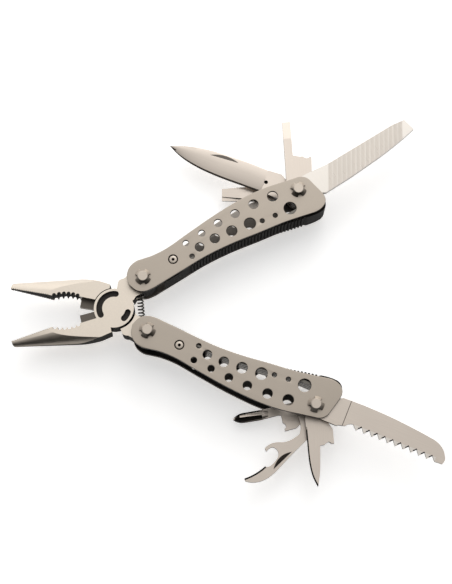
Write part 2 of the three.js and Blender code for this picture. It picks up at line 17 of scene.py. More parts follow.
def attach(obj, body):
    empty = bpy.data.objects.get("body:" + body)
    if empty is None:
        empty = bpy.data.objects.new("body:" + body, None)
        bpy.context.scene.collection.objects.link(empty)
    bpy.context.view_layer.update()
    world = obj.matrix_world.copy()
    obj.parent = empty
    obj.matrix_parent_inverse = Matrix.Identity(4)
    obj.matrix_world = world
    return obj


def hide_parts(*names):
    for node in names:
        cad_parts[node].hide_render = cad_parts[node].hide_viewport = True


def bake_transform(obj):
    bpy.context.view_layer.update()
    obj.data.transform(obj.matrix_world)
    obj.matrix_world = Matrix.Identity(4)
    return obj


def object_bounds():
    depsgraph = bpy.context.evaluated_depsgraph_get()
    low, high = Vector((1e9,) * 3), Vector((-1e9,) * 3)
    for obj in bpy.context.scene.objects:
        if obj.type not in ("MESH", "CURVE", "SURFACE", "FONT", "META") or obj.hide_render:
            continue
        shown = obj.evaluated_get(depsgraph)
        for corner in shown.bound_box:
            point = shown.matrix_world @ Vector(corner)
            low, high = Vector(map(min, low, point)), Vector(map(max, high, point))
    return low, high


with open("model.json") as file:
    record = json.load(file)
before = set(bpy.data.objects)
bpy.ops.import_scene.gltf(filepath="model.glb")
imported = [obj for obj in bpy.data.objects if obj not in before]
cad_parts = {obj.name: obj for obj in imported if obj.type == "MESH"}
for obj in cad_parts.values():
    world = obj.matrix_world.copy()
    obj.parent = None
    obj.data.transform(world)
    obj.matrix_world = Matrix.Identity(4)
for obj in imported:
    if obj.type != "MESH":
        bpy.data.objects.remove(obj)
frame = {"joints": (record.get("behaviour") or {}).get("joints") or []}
cad_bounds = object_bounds()

MM = 0.001
joints = {j["name"]: j for j in frame["joints"]}

# Dimensions shared by several pieces, in millimetres
SCALE_OUT = 8.5
SCALE_IN = 7.0
JAW_SHANK = 2.6
TOOL_SHANK = 2.2
HEAD_BASE = 4.0
HEAD_TOP = 2.3
HEAD_HEIGHT = 2.2
SCREW_AT = (17, 0.3)
TOOL_THICK = 2.6
BOSS = 6
JAW_HALF = 5.0
DISC = 9.7
MOUTH = math.radians(15.4)
FRONT_LEAN = math.radians(-3.3)
REAR_LEAN = math.radians(1.8)
TANG_PIN = (18.36, 8.72)
EYE = 6.6


# ---- Outlines ----

class Outline:
    """A closed outline drawn like a pen path."""

    def __init__(self, x, y):
        self.points = [(x, y)]

    def line(self, *corners):
        self.points.extend(corners)
        return self

    def quad(self, cx, cy, x, y, steps=10):
        x0, y0 = self.points[-1]
        for i in range(1, steps + 1):
            t = i / steps
            a, b, c = (1 - t) ** 2, 2 * t * (1 - t), t * t
            self.points.append((a * x0 + b * cx + c * x, a * y0 + b * cy + c * y))
        return self

    def cubic(self, c1, c2, end, steps=12):
        start = self.points[-1]
        for i in range(1, steps + 1):
            t = i / steps
            w = ((1 - t) ** 3, 3 * t * (1 - t) ** 2, 3 * t * t * (1 - t), t ** 3)
            self.points.append(tuple(
                sum(k * p[n] for k, p in zip(w, (start, c1, c2, end))) for n in (0, 1)))
        return self

    def spline(self, *knots, steps=8):
        self.points.extend(spline([self.points[-1], *knots], steps)[1:])
        return self


def spline(knots, steps):
    """Points of a Catmull-Rom curve through the knots."""
    points = []
    last = len(knots) - 1
    for i in range(last):
        p = [knots[max(i - 1, 0)], knots[i], knots[i + 1], knots[min(i + 2, last)]]
        for k in range(steps):
            t = k / steps
            points.append(tuple(
                0.5 * (2 * p[1][n] + (p[2][n] - p[0][n]) * t
                       + (2 * p[0][n] - 5 * p[1][n] + 4 * p[2][n] - p[3][n]) * t * t
                       + (3 * p[1][n] - p[0][n] - 3 * p[2][n] + p[3][n]) * t ** 3)
                for n in (0, 1)))
    return points + [tuple(knots[-1])]


def along(points, distance, out):
    """The point at a distance along a polyline, moved out to its right by `out`."""
    for (x0, y0), (x1, y1) in zip(points, points[1:]):
        length = math.hypot(x1 - x0, y1 - y0)
        if distance <= length or (x1, y1) == points[-1]:
            tx, ty = (x1 - x0) / length, (y1 - y0) / length
            return (x0 + tx * distance + ty * out, y0 + ty * distance - tx * out)
        distance -= length


def ring(x, y, radius, count=48):
    return [(x + radius * math.cos(2 * math.pi * i / count),
             y + radius * math.sin(2 * math.pi * i / count)) for i in range(count)]


def arc_slot(radius, width, start, end, count=28):
    """A slot bent around the origin, between two angles in degrees."""
    a, b = math.radians(start), math.radians(end)
    points = []
    for r, (u, v), centre in (
            (radius + width / 2, (a, b), None), (width / 2, (b, b + math.pi), b),
            (radius - width / 2, (b, a), None),
            (width / 2, (a + math.pi, a + 2 * math.pi), a)):
        for i in range(count):
            w = u + (v - u) * i / count
            cx, cy = (0, 0) if centre is None else (
                radius * math.cos(centre), radius * math.sin(centre))
            points.append((cx + r * math.cos(w), cy + r * math.sin(w)))
    return points


# ---- Solids ----

def new_object(name, mesh):
    body = bpy.data.objects.new(name, mesh)
    bpy.context.scene.collection.objects.link(body)
    return body


def from_faces(name, points, faces):
    """A mesh object from points in millimetres."""
    mesh = bpy.data.meshes.new(name)
    mesh.from_pydata([Vector(p) * MM for p in points], [], faces)
    shape = bmesh.new()
    shape.from_mesh(mesh)
    bmesh.ops.remove_doubles(shape, verts=shape.verts, dist=1e-7)
    bmesh.ops.recalc_face_normals(shape, faces=shape.faces)
    shape.to_mesh(mesh)
    shape.free()
    return new_object(name, mesh)


def prism(name, outline, low, high):
    points = outline.points if isinstance(outline, Outline) else outline
    n = len(points)
    verts = [(x, y, low) for x, y in points] + [(x, y, high) for x, y in points]
    faces = [list(range(n))[::-1], list(range(n, 2 * n))]
    faces += [[i, (i + 1) % n, n + (i + 1) % n, n + i] for i in range(n)]
    return from_faces(name, verts, faces)


def lathe(name, profile, segments=64, radius_at=None):
    """A turned solid about Z from (radius, z) pairs, closed at the axis at both ends.
    radius_at(angle, radius, z) may change the radius, as for notches."""
    verts, faces = [], []
    for r, z in profile:
        for i in range(segments):
            a = 2 * math.pi * i / segments
            k = radius_at(a, r, z) if radius_at and r > 0 else r
            verts.append((k * math.cos(a), k * math.sin(a), z))
    for row in range(len(profile) - 1):
        for i in range(segments):
            k = (i + 1) % segments
            quad = [row * segments + i, row * segments + k,
                    (row + 1) * segments + k, (row + 1) * segments + i]
            if profile[row][0] == 0:
                quad = [quad[0], quad[2], quad[3]]
            elif profile[row + 1][0] == 0:
                quad = [quad[0], quad[1], quad[2]]
            faces.append(quad)
    return from_faces(name, verts, faces)


def cylinder(name, x, y, radius, low, high, count=48):
    return prism(name, ring(x, y, radius, count), low, high)


def box(name, x0, x1, y0, y1, z0, z1):
    return prism(name, [(x0, y0), (x1, y0), (x1, y1), (x0, y1)], z0, z1)


def apply(body):
    """Makes the result of a body's modifiers its mesh."""
    graph = bpy.context.evaluated_depsgraph_get()
    mesh = bpy.data.meshes.new_from_object(body.evaluated_get(graph))
    old = body.data
    body.modifiers.clear()
    body.data = mesh
    bpy.data.meshes.remove(old)
    return body


def boolean(body, operation, others):
    for other in others:
        modifier = body.modifiers.new(operation, "BOOLEAN")
        modifier.operation = operation
        modifier.object = other
        modifier.solver = "EXACT"
        apply(body)
        bpy.data.objects.remove(other)
    return body


def cut(body, *others):
    return boolean(body, "DIFFERENCE", others)


def join(body, *others):
    return boolean(body, "UNION", others)


def soften(body, width, angle=32, segments=2):
    """Rounds the sharp edges."""
    modifier = body.modifiers.new("edges", "BEVEL")
    modifier.width = width * MM
    modifier.segments = segments
    modifier.limit_method = "ANGLE"
    modifier.angle_limit = math.radians(angle)
    modifier.use_clamp_overlap = True
    return apply(body)


def grind(points, face, size, count=24):
    """A three-sided bar that grinds back a plate's edge along a curve, on the surface at
    the height given. The plate is to the right of the curve."""
    sign = 1 if face > 0 else -1
    length = sum(math.dist(a, b) for a, b in zip(points, points[1:]))
    spare = 0.3
    verts, faces = [], []
    for i in range(count + 1):
        for out, z in ((size + spare, spare), (-spare, -size - spare), (-spare, spare)):
            x, y = along(points, length * i / count, out)
            verts.append((x, y, face + sign * z))
    for i in range(count):
        for k in range(3):
            m = (k + 1) % 3
            faces.append([3 * i + k, 3 * i + m, 3 * i + 3 + m, 3 * i + 3 + k])
    faces.append([0, 1, 2])
    faces.append([3 * count + 2, 3 * count + 1, 3 * count])
    return from_faces("grind", verts, faces)


def smooth(body, angle=38):
    """Smooth shading up to an angle, with large faces kept flat."""
    body.data.shade_smooth()
    body.data.set_sharp_from_angle(angle=math.radians(angle))
    modifier = body.modifiers.new("normals", "WEIGHTED_NORMAL")
    modifier.keep_sharp = True
    modifier.weight = 100
    return apply(body)


def filled(name, outline, holes, low, high, bevel):
    """A plate with holes whose rims are rounded, from a filled curve."""
    curve = bpy.data.curves.new(name, "CURVE")
    curve.dimensions = "2D"
    curve.fill_mode = "BOTH"
    for points in [outline, *holes]:
        line = curve.splines.new("POLY")
        line.points.add(len(points) - 1)
        for point, (x, y) in zip(line.points, points):
            point.co = (x * MM, y * MM, 0, 1)
        line.use_cyclic_u = True
    curve.extrude = ((high - low) / 2 - bevel) * MM
    curve.bevel_depth = bevel * MM
    curve.bevel_resolution = 2
    curve.offset = -bevel * MM
    holder = new_object(name, curve)
    graph = bpy.context.evaluated_depsgraph_get()
    mesh = bpy.data.meshes.new_from_object(holder.evaluated_get(graph))
    bpy.data.objects.remove(holder)
    mesh.transform(Matrix.Translation((0, 0, (low + high) / 2 * MM)))
    shape = bmesh.new()
    shape.from_mesh(mesh)
    bmesh.ops.remove_doubles(shape, verts=shape.verts, dist=1e-7)
    bmesh.ops.recalc_face_normals(shape, faces=shape.faces)
    shape.to_mesh(mesh)
    shape.free()
    return new_object(name, mesh)


def nail_nick(start, end, bulge, face):
    """A crescent cutter, deep along the chord and rising to the face at its curved side,
    which bulges to the chord's left. A negative face is the -z one."""
    depth = 0.65
    (x0, y0), (x1, y1) = start, end
    length = math.hypot(x1 - x0, y1 - y0)
    side = -1 if face < 0 else 1
    outline = Outline(0, 0).line((length, 0)).quad(length / 2, 2 * bulge, 0, 0, 20)
    nick = prism("nick", outline, 0, 2)
    tilt = turn(math.atan2(depth, bulge), "X")
    over = Matrix.Identity(4) if side > 0 else Matrix.Diagonal((1, 1, -1, 1))
    nick.data.transform(
        Matrix.Translation(Vector((x0, y0, 0)) * MM)
        @ turn(math.atan2(y1 - y0, x1 - x0)) @ over
        @ Matrix.Translation(Vector((0, 0, abs(face) - depth)) * MM) @ tilt)
    if side < 0:
        nick.data.flip_normals()
    return nick


def height_at(points, x):
    """The height of a polyline that runs along x."""
    for (x0, y0), (x1, y1) in zip(points, points[1:]):
        if x <= x1:
            return y0 + (y1 - y0) * (x - x0) / (x1 - x0)
    return points[-1][1]


# ---- Materials ----

def nodes_of(name):
    material = bpy.data.materials.new(name)
    material.use_nodes = True
    tree = material.node_tree
    return material, tree, tree.nodes["Principled BSDF"]


def noise(tree, scale, detail=4, stretch=None):
    """A noise texture in the piece's own coordinates, stretched along its axes."""
    place = tree.nodes.new("ShaderNodeTexCoord")
    source = place.outputs["Object"]
    if stretch:
        mapping = tree.nodes.new("ShaderNodeMapping")
        mapping.inputs["Scale"].default_value = stretch
        tree.links.new(source, mapping.inputs["Vector"])
        source = mapping.outputs["Vector"]
    texture = tree.nodes.new("ShaderNodeTexNoise")
    texture.inputs["Scale"].default_value = scale
    texture.inputs["Detail"].default_value = detail
    texture.inputs["Roughness"].default_value = 0.55
    tree.links.new(source, texture.inputs["Vector"])
    return texture.outputs["Fac"]


def ramp(tree, value, stops):
    """A colour ramp from (position, colour) stops."""
    node = tree.nodes.new("ShaderNodeValToRGB")
    elements = node.color_ramp.elements
    while len(elements) < len(stops):
        elements.new(0.5)
    for element, (position, colour) in zip(elements, stops):
        element.position = position
        element.color = (*colour, 1)
    tree.links.new(value, node.inputs["Fac"])
    return node.outputs["Color"]


def spread(tree, value, low, high):
    node = tree.nodes.new("ShaderNodeMapRange")
    node.inputs["From Min"].default_value = 0.3
    node.inputs["From Max"].default_value = 0.7
    node.inputs["To Min"].default_value = low
    node.inputs["To Max"].default_value = high
    tree.links.new(value, node.inputs["Value"])
    return node.outputs["Result"]


def mix(tree, factor, a, b):
    node = tree.nodes.new("ShaderNodeMix")
    node.data_type = "RGBA"
    tree.links.new(factor, node.inputs["Factor"])
    for socket, value in ((node.inputs[6], a), (node.inputs[7], b)):
        if isinstance(value, tuple):
            socket.default_value = (*value, 1)
        else:
            tree.links.new(value, socket)
    return node.outputs[2]


def face_up(tree):
    """1 on level faces, falling to 0 on walls, sooner on those that face -y in the world,
    which are turned from the light. It follows the world, not the piece."""
    geometry = tree.nodes.new("ShaderNodeNewGeometry")
    split = tree.nodes.new("ShaderNodeSeparateXYZ")
    tree.links.new(geometry.outputs["Normal"], split.inputs["Vector"])
    level = tree.nodes.new("ShaderNodeMath")
    level.operation = "ABSOLUTE"
    tree.links.new(split.outputs["Z"], level.inputs[0])
    total = tree.nodes.new("ShaderNodeMath")
    total.operation = "MULTIPLY_ADD"
    total.inputs[1].default_value = 0.5
    tree.links.new(split.outputs["Y"], total.inputs[0])
    tree.links.new(level.outputs[0], total.inputs[2])
    node = tree.nodes.new("ShaderNodeMapRange")
    node.inputs["From Min"].default_value = 0.15
    node.inputs["From Max"].default_value = 0.9
    tree.links.new(total.outputs[0], node.inputs["Value"])
    return node.outputs["Result"]


def bump(tree, shader, height, strength, distance):
    node = tree.nodes.new("ShaderNodeBump")
    node.inputs["Strength"].default_value = strength
    node.inputs["Distance"].default_value = distance
    tree.links.new(height, node.inputs["Height"])
    tree.links.new(node.outputs["Normal"], shader.inputs["Normal"])


def shade(colour, factor):
    return tuple(min(1.0, c * factor) for c in colour)


def steel(name, colour, rough, grain, wall_shade=None, speckle=0.06, depth=0.00002, scale=900,
          metallic=1.0, specular=0.5):
    """A steel finish. grain stretches the scratches along the piece's axes. The wall colour is
    painted shade on its cut side walls, darker on those that face -y in the world."""
    material, tree, shader = nodes_of(name)
    shader.inputs["Metallic"].default_value = metallic
    shader.inputs["Specular IOR Level"].default_value = specular
    fine = noise(tree, scale, 3, grain)
    cloud = noise(tree, 60, 3)
    base = ramp(tree, fine, [(0.3, shade(colour, 1 - speckle)),
                             (0.7, shade(colour, 1 + speckle))])
    stained_and_wall_shaded = mix(tree, cloud, base, shade(colour, 0.94))
    # cut side walls get the wall colour as painted shade, sooner where they face -y in the
    # world
    if wall_shade:
        stained_and_wall_shaded = mix(tree, face_up(tree), wall_shade, stained_and_wall_shaded)
    tree.links.new(stained_and_wall_shaded, shader.inputs["Base Color"])
    tree.links.new(spread(tree, fine, rough - 0.05, rough + 0.06),
                   shader.inputs["Roughness"])
    bump(tree, shader, fine, 0.35, depth)
    return material


# painted shade for cut side walls; the wall colours given below are painted shade too
WALL_SHADE = (0.02, 0.018, 0.016)
BLASTED = steel("bead blasted steel", (0.475, 0.42, 0.36), 0.48, None,
                wall_shade=WALL_SHADE, speckle=0.08, depth=0.00003, scale=2600)
SATIN = steel("satin steel", (0.64, 0.572, 0.508), 0.36, (25, 600, 25),
              wall_shade=(0.05, 0.045, 0.04), scale=3)
JAW_STEEL = steel("forged jaw steel", (0.75, 0.675, 0.585), 0.36, (220, 220, 220),
                  wall_shade=(0.27, 0.24, 0.205), scale=6)
POLISHED = steel("polished steel", (0.71, 0.67, 0.62), 0.34, (500, 30, 30),
                 wall_shade=(0.3, 0.28, 0.26), scale=3)
GROUND = steel("ground steel", (0.63, 0.58, 0.525), 0.32, (500, 30, 30),
               wall_shade=(0.3, 0.28, 0.26), scale=3)
BRIGHT = steel("turned steel", (0.6, 0.535, 0.465), 0.48, (300, 300, 60),
               wall_shade=(0.05, 0.045, 0.04), scale=4)
# the wire cutter: darker ground steel, darkened further as painted shade of its recess
CUTTER_STEEL_AND_SHADE = steel("cutter steel and painted shade", (0.13, 0.115, 0.1), 0.35, (200, 30, 200), scale=6)
# painted shade for ground bevels, nicks and the saw's step line
SHADE_MARK = steel("painted shade mark", (0.07, 0.06, 0.052), 0.3, (60, 400, 60), scale=4)
# blackened steel of the spine, also used as painted shade in gaps, nicks, flutes and recesses
BLACKENED_AND_SHADE = steel("blackened steel and painted shade", (0.012, 0.0105, 0.009), 0.6, None, speckle=0.25,
             scale=1400, metallic=0, specular=0.05)
SPRING = steel("spring steel", (0.16, 0.15, 0.135), 0.3, (60, 400, 60), scale=4)
POCKET = steel("rough pocket floor", (0.035, 0.03, 0.027), 0.7, None, speckle=0.6,
               depth=0.0003, scale=1100, metallic=0.5)


def shaded_inner_face(name, outer, middle):
    """The inside of a scale, with painted light and shade: each handle has its own tones for
    the same finish, and the tone changes along its outer side.
    """
    material, tree, shader = nodes_of(name)
    shader.inputs["Metallic"].default_value = 0.8
    shader.inputs["Roughness"].default_value = 0.5
    place = tree.nodes.new("ShaderNodeTexCoord")
    split = tree.nodes.new("ShaderNodeSeparateXYZ")
    tree.links.new(place.outputs["Object"], split.inputs["Vector"])
    across = tree.nodes.new("ShaderNodeMapRange")
    across.inputs["From Min"].default_value = 0.004
    across.inputs["From Max"].default_value = 0.006
    tree.links.new(split.outputs["Y"], across.inputs["Value"])
    grain = noise(tree, 1500, 3)
    lit_and_shaded_tones = [ramp(tree, grain, [(0.3, shade(c, 0.9)), (0.7, shade(c, 1.1))])
             for c in (middle, outer)]
    tree.links.new(mix(tree, across.outputs["Result"], *lit_and_shaded_tones),
                   shader.inputs["Base Color"])
    bump(tree, shader, grain, 0.3, 0.00003)
    return material


# painted light on the upper handle's insides and painted shade on the lower's, for one finish
INNER_SHADING = {
    "upper": shaded_inner_face("inside of upper scale with painted light", (0.34, 0.31, 0.28), (0.12, 0.108, 0.096)),
    "lower": shaded_inner_face("inside of lower scale with painted shade", (0.012, 0.011, 0.01), (0.055, 0.05, 0.045)),
}


def paint(body, material, others=()):
    """Gives a body a material, and other materials to the faces that pass a test of their
    centre in millimetres."""
    body.data.materials.clear()
    body.data.materials.append(material)
    for n, (other, test) in enumerate(others, 1):
        body.data.materials.append(other)
        for face in body.data.polygons:
            if test(face.center / MM, face.normal):
                face.material_index = n
    return body


# ---- Placing ----

def pivot(name):
    return Vector(joints[name]["pos_m"])


def heading(start, end):
    return math.atan2((end - start).y, (end - start).x)


def turn(angle, axis="Z"):
    return Matrix.Rotation(angle, 4, axis)


JAW_PIVOT = pivot("jaws")
HANDLES = {}
for side, jaw_joint, tool_joint, over in (
        ("upper", "upper_handle_fold", "knife_fold", False),
        ("lower", "lower_handle_fold", "saw_fold", True)):
    start, end = pivot(jaw_joint), pivot(tool_joint)
    flip = turn(math.pi, "X") if over else Matrix.Identity(4)
    HANDLES[side] = (Matrix.Translation(start) @ turn(heading(start, end)) @ flip,
                     (end - start).length / MM)


def place(body, matrix, body_name, slot, *replaced, crease=38):
    smooth(body, crease)
    body.matrix_world = matrix
    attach(body, body_name)
    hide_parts(*replaced)
    return body


# ---- Pliers ----

def plier_nose(name):
    """The nose along -x, below the middle line, with its cutter blade."""
    deep = JAW_HALF + 1
    nose = (Outline(-52, 0).line((-51.9, -1.9)).quad(-51.6, -2.8, -50.6, -3.1)
            .line((-34, -7.6)).spline((-27, -9.5), (-20.5, -11.2), (-15, -11.8), (-9.5, -11.7))
            .line((-4.4, -11.1), (-4.2, -9), (-6, 0)))
    body = prism(name, nose, -JAW_HALF, JAW_HALF)
    # the closed noses together make a flattened cone
    cone = lathe("cone", [(0, -53), (2.5, -53), (25.5, 30), (0, 30)], 128)
    cone.data.transform(Matrix.Diagonal((1, 1, 0.62, 1)) @ turn(math.pi / 2, "Y"))
    boolean(body, "INTERSECT", [cone])

    # the hollow of the pipe grip, with round teeth along it
    hollow = Outline(-31.3, 0.5).quad(-24.5, -3.6, -17.4, -2.2, 24)
    edge = list(hollow.points)
    cut(body, prism("hollow", hollow.line((-17.4, 0.5)), -deep, deep))
    for i in range(6):
        x = -29.9 + 2.25 * i
        cut(body, cylinder("gullet", x, height_at(edge, x) - 0.15, 0.95, -deep, deep, 32))
    # fine teeth across the flat grip
    notches = []
    for i in range(17):
        x = -50.6 + 1.1 * i
        notches.append(prism("notch", [(x - 0.4, 0.2), (x, -0.42), (x + 0.4, 0.2)],
                             -deep, deep))
    cut(body, *notches)

    cut(body, box("cutter gap", -17.5, -5, -2.3, 5, -deep, deep))
    return join(body, prism("blade", [(-17.2, -3.2), (-6, -4), (-6, 1.6), (-16.9, 2)],
                            0.06, 2.6))


def plier_half(name, lean):
    """One half of the pliers: nose, disc in the upper half, tang up to the jaw bolt. The
    nose is turned about the pivot by its lean."""
    deep = JAW_HALF + 1
    tang = (Outline(4, 7.6).line((6.3, 11.5)).quad(7.2, 12.6, 9.5, 12.2)
            .line((14.6, 14.1), TANG_PIN, (16.8, 2.4), (12, 1.7), (10.3, 0.4), (8, 0.4)))
    body = plier_nose(name)
    body.data.transform(turn(lean))
    join(body, prism("tang", tang, -JAW_HALF, JAW_HALF),
         cylinder("eye", *TANG_PIN, EYE, -JAW_HALF, JAW_HALF, 72))
    cut(body, cylinder("clearance", 0, 0, DISC + 0.4, -deep, 0.06, 128))
    join(body, cylinder("disc", 0, 0, DISC, 0.06, JAW_HALF, 128))
    cut(body, cylinder("bolt hole", *TANG_PIN, JAW_SHANK + 0.15, -deep, deep))
    return body


def spring_pocket(side):
    body = cylinder("pocket", 0, 0, 2.1, -2, 2, 32)
    body.data.transform(Matrix.Translation(Vector((12.9, side * 4.9, 0)) * MM)
                        @ turn(math.pi / 2, "X"))
    return body


def cutter_test(placed):
    """Picks out the wire cutter of a jaw that was moved from the closed frame."""
    back = placed.to_3x3().inverted()

    def test(centre, normal):
        p = back @ centre
        return -17.45 < p.x < -8 and p.y > -3.4 and abs(p.z) < 2.65

    return test


def in_lap_shade(centre, normal):
    """The meeting faces of the two discs, and the narrow gap around them, painted dark as
    shade.
    """
    in_gap = abs(normal.z) < 0.5 and DISC - 0.1 < centre.xy.length < DISC + 1.3
    return abs(centre.z) < 0.1 or in_gap


def make_jaws():
    opened = turn(MOUTH)
    front = plier_half("front_jaw", FRONT_LEAN)
    front.data.transform(opened)
    floor = JAW_HALF - 1.4
    cut(front, prism("long window", arc_slot(7.1, 2.9, 78, 203), floor, 6),
        prism("short window", arc_slot(7.1, 2.9, -51, -22), floor, 6),
        cylinder("rivet seat", 0, 0, 3.4, -1, 4), spring_pocket(1))
    soften(front, 0.16)

    def in_window(centre, normal):
        return (normal.z > 0.9 and floor - 0.1 < centre.z < floor + 0.1
                and centre.xy.length < 9)

    # painted shade on the disc lap and gap, and on the recessed cutter
    paint(front, JAW_STEEL, [(BLACKENED_AND_SHADE, in_lap_shade), (POCKET, in_window),
                             (CUTTER_STEEL_AND_SHADE, cutter_test(opened @ turn(FRONT_LEAN)))])
    place(front, Matrix.Translation(JAW_PIVOT), "head", "satin_steel", "jaw_front",
          crease=14)

    opened = turn(-MOUTH) @ turn(math.pi, "X")
    back = plier_half("rear_jaw", REAR_LEAN)
    back.data.transform(opened)
    cut(back, cylinder("rivet hole", 0, 0, 3.55, -6, 1), spring_pocket(-1),
        cylinder("relief", 0.4, -0.5, DISC + 0.5, 0.06, 6, 128))
    soften(back, 0.16)
    # painted shade on the disc lap and gap, and on the recessed cutter
    paint(back, JAW_STEEL, [(BLACKENED_AND_SHADE, in_lap_shade),
                            (CUTTER_STEEL_AND_SHADE, cutter_test(opened @ turn(REAR_LEAN)))])
    place(back, Matrix.Translation(JAW_PIVOT), "rear_jaw", "satin_steel", "jaw_back",
          crease=14)

    rivet = soften(cylinder("plier_rivet", 0, 0, 3.35, -JAW_HALF, 4, 64), 0.3)
    paint(rivet, BRIGHT)
    place(rivet, Matrix.Translation(JAW_PIVOT), "head", "bright_steel", "jaw_rivet")


def make_return_spring():
    """The coil between the two tangs, with its end turns closed up."""
    half, radius, wire, turns = 6.2, 1.35, 0.36, 8
    curve = bpy.data.curves.new("coil", "CURVE")
    curve.dimensions = "3D"
    curve.bevel_depth = wire * MM
    curve.bevel_resolution = 3
    curve.use_fill_caps = True
    line = curve.splines.new("POLY")
    steps = turns * 28
    line.points.add(steps)
    for i in range(steps + 1):
        t = i / steps
        a = 2 * math.pi * turns * t
        height = half * math.sin(math.pi * (t - 0.5)) * 0.12 + half * 2 * (t - 0.5) * 0.88
        line.points[i].co = (radius * math.cos(a) * MM, height * MM,
                             radius * math.sin(a) * MM, 1)
    holder = new_object("coil", curve)
    graph = bpy.context.evaluated_depsgraph_get()
    mesh = bpy.data.meshes.new_from_object(holder.evaluated_get(graph))
    bpy.data.objects.remove(holder)
    body = smooth(new_object("return_coil", mesh), 60)
    centre = JAW_PIVOT + Vector((12.9, 0, 0)) * MM
    body.matrix_world = Matrix.Translation(centre)
    paint(body, SPRING)
    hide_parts("return_spring")
    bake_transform(body)


# ---- Handle pieces ----

INNER_EDGE = spline([(2, -7.4), (18, -6.8), (32, -6.4), (46, -7.3), (60, -9.2), (74, -11.0),
                     (88, -13.9)], 12)

HOLES = [
    (26.4, 4.2, 1.5), (35.6, 4.6, 1.7), (45.1, 5.1, 2.0),
    (54.7, 5.0, 2.2), (65.0, 4.6, 2.4), (75.2, 3.4, 2.65),
    (25.7, -3.1, 1.25), (31.2, -0.9, 2.25), (39.8, -0.9, 2.45),
    (48.9, -1.8, 2.7), (58.5, -3.0, 2.95), (64.4, -4.9, 1.2),
    (71.3, -5.7, 1.2), (79.5, -6.2, 3.15),
]


def scale_outline():
    path = Outline(-7.8, 0.3).spline(
        (-6.4, 4.6), (-3.2, 7.6), (1, 8.6), (5, 7.9), (10, 7), (18, 6.8), (30, 8.1),
        (46, 9.6), (62, 10.1), (74, 9.1), (84, 7.1), (91, 5.7))
    path.quad(94.2, 4.9, 95.3, 1.8).line((97.4, -7.6))
    path.cubic((98, -11.5), (95.5, -13.8), (91.5, -14.2)).quad(89.8, -14.3, 88, -13.9)
    path.points.extend(INNER_EDGE[-2::-1])
    path.spline((-2.6, -6.7), (-6, -4.3), (-7.8, 0.3))
    return path.points[:-1]


def make_scale(side, face):
    over = side == "lower"
    sign = 1 if (face == "front") != over else -1
    low, high = sorted((sign * SCALE_IN, sign * SCALE_OUT))
    holes = [ring(x, y, r) for x, y, r in HOLES]
    holes += [ring(0, 0, JAW_SHANK + 0.15), ring(HANDLES[side][1], 0, TOOL_SHANK + 0.15)]
    holes += [ring(*SCREW_AT, 2.35)]
    body = filled(f"{side}_{face}_plate", scale_outline(), holes, low, high, 0.22)
    # the counterbore's floor, under the screw's head
    seat = sorted((sign * SCALE_IN, sign * (SCALE_OUT - 0.9)))
    floor = filled("seat", ring(*SCREW_AT, 2.45), [ring(*SCREW_AT, 1.3)], *seat, 0.02)
    join(body, floor)

    # the counterbore is painted dark as the screw head's shadow
    def in_sink_shadow(centre, normal):
        away = (centre.xy - Vector(SCREW_AT)).length
        return away < 2.5 and abs(centre.z) < SCALE_OUT - 0.2

    # the inside faces get painted light and shade
    def inside(centre, normal):
        return abs(centre.z) < SCALE_IN + 0.01

    paint(body, BLASTED, [(INNER_SHADING[side], inside), (BLACKENED_AND_SHADE, in_sink_shadow)])
    place(body, HANDLES[side][0], f"{side}_handle", "blasted_steel",
          f"{side}_{face}_scale")


def make_spine(side):
    """The ribbed bar between the scales."""
    path = Outline(*along(INNER_EDGE, 5.5, 0.2))
    path.line(along(INNER_EDGE, 8, 0.35), along(INNER_EDGE, 14, 0.35))
    rib = ((0, -0.8), (0.2, -0.15), (0.35, 0), (1.0, 0), (1.15, -0.15), (1.35, -0.8))
    for i in range(35):
        # the ribs stand higher toward the tool end
        rise = min(1, max(0, (21 + 1.75 * i - 64) / 12))
        crest = 0.35 + 0.6 * rise * rise * (3 - 2 * rise)
        for step, out in rib:
            path.line(along(INNER_EDGE, 21 + 1.75 * i + step, crest + out))
    path.line((84.5, -14.1)).quad(90, -15.4, 93.2, -14.9).quad(96.6, -14, 96.8, -10.4)
    path.line((94.2, -10.2)).quad(92, -12, 88.6, -11.5)
    for i in range(40):
        path.line(along(INNER_EDGE, 84 - i * 76.8 / 39, -2.4))
    body = soften(prism(f"{side}_ribbed_spine", path, -6.9, 6.9), 0.12)
    # shallow lines along the smooth stretch at the jaw end
    strip = [along(INNER_EDGE, 5 + 3 * i, 1.2) for i in range(6)]
    strip += [along(INNER_EDGE, 20 - 3 * i, 0.1) for i in range(6)]
    cut(body, *[prism("line", strip, z - 0.15, z + 0.15) for z in (-3.4, 0, 3.4)])
    paint(body, BLACKENED_AND_SHADE)
    place(body, HANDLES[side][0], f"{side}_handle", "blackened_steel", f"{side}_spine")


